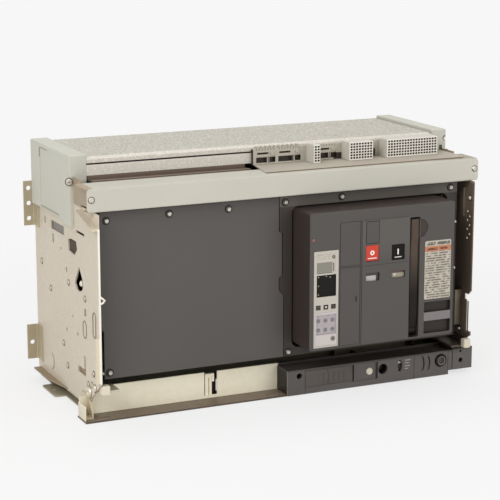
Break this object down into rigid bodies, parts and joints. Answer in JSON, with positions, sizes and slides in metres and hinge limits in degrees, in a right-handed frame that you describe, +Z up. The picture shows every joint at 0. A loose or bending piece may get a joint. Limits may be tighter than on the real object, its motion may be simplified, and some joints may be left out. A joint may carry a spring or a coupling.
{
  "type": "withdrawable air circuit breaker",
  "caption": "Withdrawable low-voltage air circuit breaker in its chassis, with racking gear, safety shutters, rear connectors and a control front.",
  "frame": {"origin": "bottom centre of the whole part, on the plane that it stands on", "axes": "+X to the right along the front, +Y to the rear connectors, +Z up; the control face looks along -Y"},
  "size_m": [0.832, 0.4571, 0.479],
  "materials": {
    "plate_steel": "passivated",
    "beam_paint": "satin paint",
    "zinc_steel": "galvanised",
    "olive_plate": "yellow passivated",
    "grey_moulding": "fine grain",
    "pale_terminal": "matt",
    "wall_moulding": "matt",
    "plated_copper": "tin plated copper",
    "cover_grey": "fine grain",
    "frame_black": "powder coat",
    "blank_grey": "powder coat",
    "block_grey": "matt",
    "cream_plastic": "matt",
    "red_plastic": "matt",
    "black_plastic": "matt",
    "flag_white": "matt",
    "flag_green": "matt",
    "trip_grey": "matt",
    "case_moulding": "moulded",
    "bright_steel": "bright zinc"
  },
  "bodies": {
    "chassis": {"side_plate_left": "plate_steel", "side_plate_right": "plate_steel", "top_beam": "beam_paint", "base_channel": "zinc_steel", "base_rails": "zinc_steel", "brackets": "olive_plate", "rear_wall": "wall_moulding", "connectors": "plated_copper", "finger_clusters": "plated_copper", "end_cheek_left": "grey_moulding", "end_cheek_right": "grey_moulding", "chassis_screws": "bright_steel", "chute_hood": "grey_moulding", "terminal_shelf": "zinc_steel", "terminal_carrier": "pale_terminal", "terminal_blocks": "pale_terminal", "racking_block": "block_grey", "base_hook": "flag_white", "shutter_guides": "zinc_steel", "side_rivets": "bright_steel"},
    "carriage": {"racking_carriage": "zinc_steel"},
    "screw": {"racking_screw": "bright_steel"},
    "racking_flag": {"position_flag": "flag_white"},
    "lock": {"lock_plate": "block_grey"},
    "release": {"release_button": "cream_plastic"},
    "crank": {"crank_handle": "block_grey"},
    "left_rail": {"rail_left": "zinc_steel", "rail_pull_left": "cream_plastic"},
    "right_rail": {"rail_right": "zinc_steel", "rail_pull_right": "cream_plastic"},
    "upper_shutter": {"line_shutter": "wall_moulding"},
    "lower_shutter": {"load_shutter": "wall_moulding"},
    "breaker": {"pole_case": "case_moulding", "blanking_plate": "blank_grey", "front_frame": "frame_black", "fascia_screws": "bright_steel", "front_cover": "cover_grey", "centre_panel": "cover_grey", "trip_unit": "trip_grey", "line_terminals": "plated_copper", "load_terminals": "plated_copper", "arc_chutes": "case_moulding", "current_transformers": "case_moulding", "breaker_sides": "zinc_steel", "guide_rollers": "bright_steel", "mechanism_frame": "zinc_steel", "closing_spring": "bright_steel"},
    "off": {"off_button": "red_plastic"},
    "on": {"on_button": "black_plastic"},
    "reset": {"reset_button": "red_plastic"},
    "key_1": {"trip_key_1": "trip_grey"},
    "key_2": {"trip_key_2": "trip_grey"},
    "key_3": {"trip_key_3": "trip_grey"},
    "flap": {"trip_flap": "trip_grey"},
    "handle": {"charging_handle": "cover_grey"},
    "cam": {"charging_cam": "bright_steel"},
    "charged_flag": {"charge_flag": "flag_white"},
    "state_flag": {"contact_flag": "flag_green"},
    "contact_arms": {"moving_contacts": "plated_copper"},
    "shaft": {"pole_shaft": "zinc_steel"}
  },
  "joints": [
    {"name": "carriage_rack", "type": "slide", "parent": "chassis", "child": "carriage", "axis": [0, -1, 0], "range_m": [0, 0.055]},
    {"name": "screw_turn", "type": "hinge", "parent": "chassis", "child": "screw", "pos_m": [0.202, -0.15, 0.03], "axis": [0, -1, 0], "range_deg": [0, 3961]},
    {"name": "racking_flag_shift", "type": "slide", "parent": "chassis", "child": "racking_flag", "axis": [1, 0, 0], "range_m": [0, 0.0121]},
    {"name": "lock_pull", "type": "slide", "parent": "chassis", "child": "lock", "axis": [0, -1, 0], "range_m": [0, 0.028]},
    {"name": "release_press", "type": "slide", "parent": "chassis", "child": "release", "axis": [0, 1, 0], "range_m": [0, 0.005], "stiffness_N_per_m": 500, "springref_m": -0.002},
    {"name": "crank_pull", "type": "slide", "parent": "chassis", "child": "crank", "axis": [0, -1, 0], "range_m": [0, 0.12]},
    {"name": "left_rail_pull", "type": "slide", "parent": "chassis", "child": "left_rail", "axis": [0, -1, 0], "range_m": [0, 0.26]},
    {"name": "right_rail_pull", "type": "slide", "parent": "chassis", "child": "right_rail", "axis": [0, -1, 0], "range_m": [0, 0.26]},
    {"name": "breaker_withdraw", "type": "slide", "parent": "carriage", "child": "breaker", "axis": [0, -1, 0], "range_m": [0, 0.3]},
    {"name": "upper_shutter_drop", "type": "slide", "parent": "chassis", "child": "upper_shutter", "axis": [0, 0, -1], "range_m": [0, 0.0501]},
    {"name": "lower_shutter_lift", "type": "slide", "parent": "chassis", "child": "lower_shutter", "axis": [0, 0, 1], "range_m": [0, 0.0501]},
    {"name": "off_press", "type": "slide", "parent": "breaker", "child": "off", "axis": [0, 1, 0], "range_m": [0, 0.004], "stiffness_N_per_m": 800, "springref_m": -0.002},
    {"name": "on_press", "type": "slide", "parent": "breaker", "child": "on", "axis": [0, 1, 0], "range_m": [0, 0.004], "stiffness_N_per_m": 800, "springref_m": -0.002},
    {"name": "reset_pop", "type": "slide", "parent": "breaker", "child": "reset", "axis": [0, -1, 0], "range_m": [0, 0.004]},
    {"name": "key_1_press", "type": "slide", "parent": "breaker", "child": "key_1", "axis": [0, 1, 0], "range_m": [0, 0.0008], "stiffness_N_per_m": 300, "springref_m": -0.0005},
    {"name": "key_2_press", "type": "slide", "parent": "breaker", "child": "key_2", "axis": [0, 1, 0], "range_m": [0, 0.0008], "stiffness_N_per_m": 300, "springref_m": -0.0005},
    {"name": "key_3_press", "type": "slide", "parent": "breaker", "child": "key_3", "axis": [0, 1, 0], "range_m": [0, 0.0008], "stiffness_N_per_m": 300, "springref_m": -0.0005},
    {"name": "flap_lift", "type": "hinge", "parent": "breaker", "child": "flap", "pos_m": [0.04725, -0.2269, 0.1725], "axis": [-1, 0, 0], "range_deg": [0, 95]},
    {"name": "handle_stroke", "type": "hinge", "parent": "breaker", "child": "handle", "pos_m": [0.238, -0.2135, 0.116], "axis": [1, 0, 0], "range_deg": [0, 75], "stiffness_Nm_per_rad": 0.1, "springref_deg": -28.65},
    {"name": "cam_turn", "type": "hinge", "parent": "breaker", "child": "cam", "pos_m": [0.2, -0.1095, 0.276], "axis": [1, 0, 0], "range_deg": [0, 75]},
    {"name": "charged_flag_rise", "type": "slide", "parent": "breaker", "child": "charged_flag", "axis": [0, 0, 1], "range_m": [0, 0.01705]},
    {"name": "state_flag_rise", "type": "slide", "parent": "breaker", "child": "state_flag", "axis": [0, 0, 1], "range_m": [0, 0.01705]},
    {"name": "contacts_close", "type": "hinge", "parent": "breaker", "child": "contact_arms", "pos_m": [0, 0.0165, 0.15], "axis": [-1, 0, 0], "range_deg": [0, 18]},
    {"name": "shaft_turn", "type": "hinge", "parent": "breaker", "child": "shaft", "pos_m": [0, -0.0855, 0.176], "axis": [-1, 0, 0], "range_deg": [0, 45.05]}
  ],
  "couplings": [
    {"joint": "screw_turn", "follows": "carriage_rack", "rad_per_m": 1256.6},
    {"joint": "racking_flag_shift", "follows": "carriage_rack", "ratio": 0.21818},
    {"joint": "upper_shutter_drop", "follows": "breaker_withdraw", "ratio": 0.16667},
    {"joint": "lower_shutter_lift", "follows": "breaker_withdraw", "ratio": 0.16667},
    {"joint": "handle_stroke", "follows": "cam_turn", "ratio": 1},
    {"joint": "charged_flag_rise", "follows": "cam_turn", "m_per_rad": 0.012987},
    {"joint": "shaft_turn", "follows": "contacts_close", "ratio": 2.5},
    {"joint": "state_flag_rise", "follows": "contacts_close", "m_per_rad": 0.054113}
  ]
}
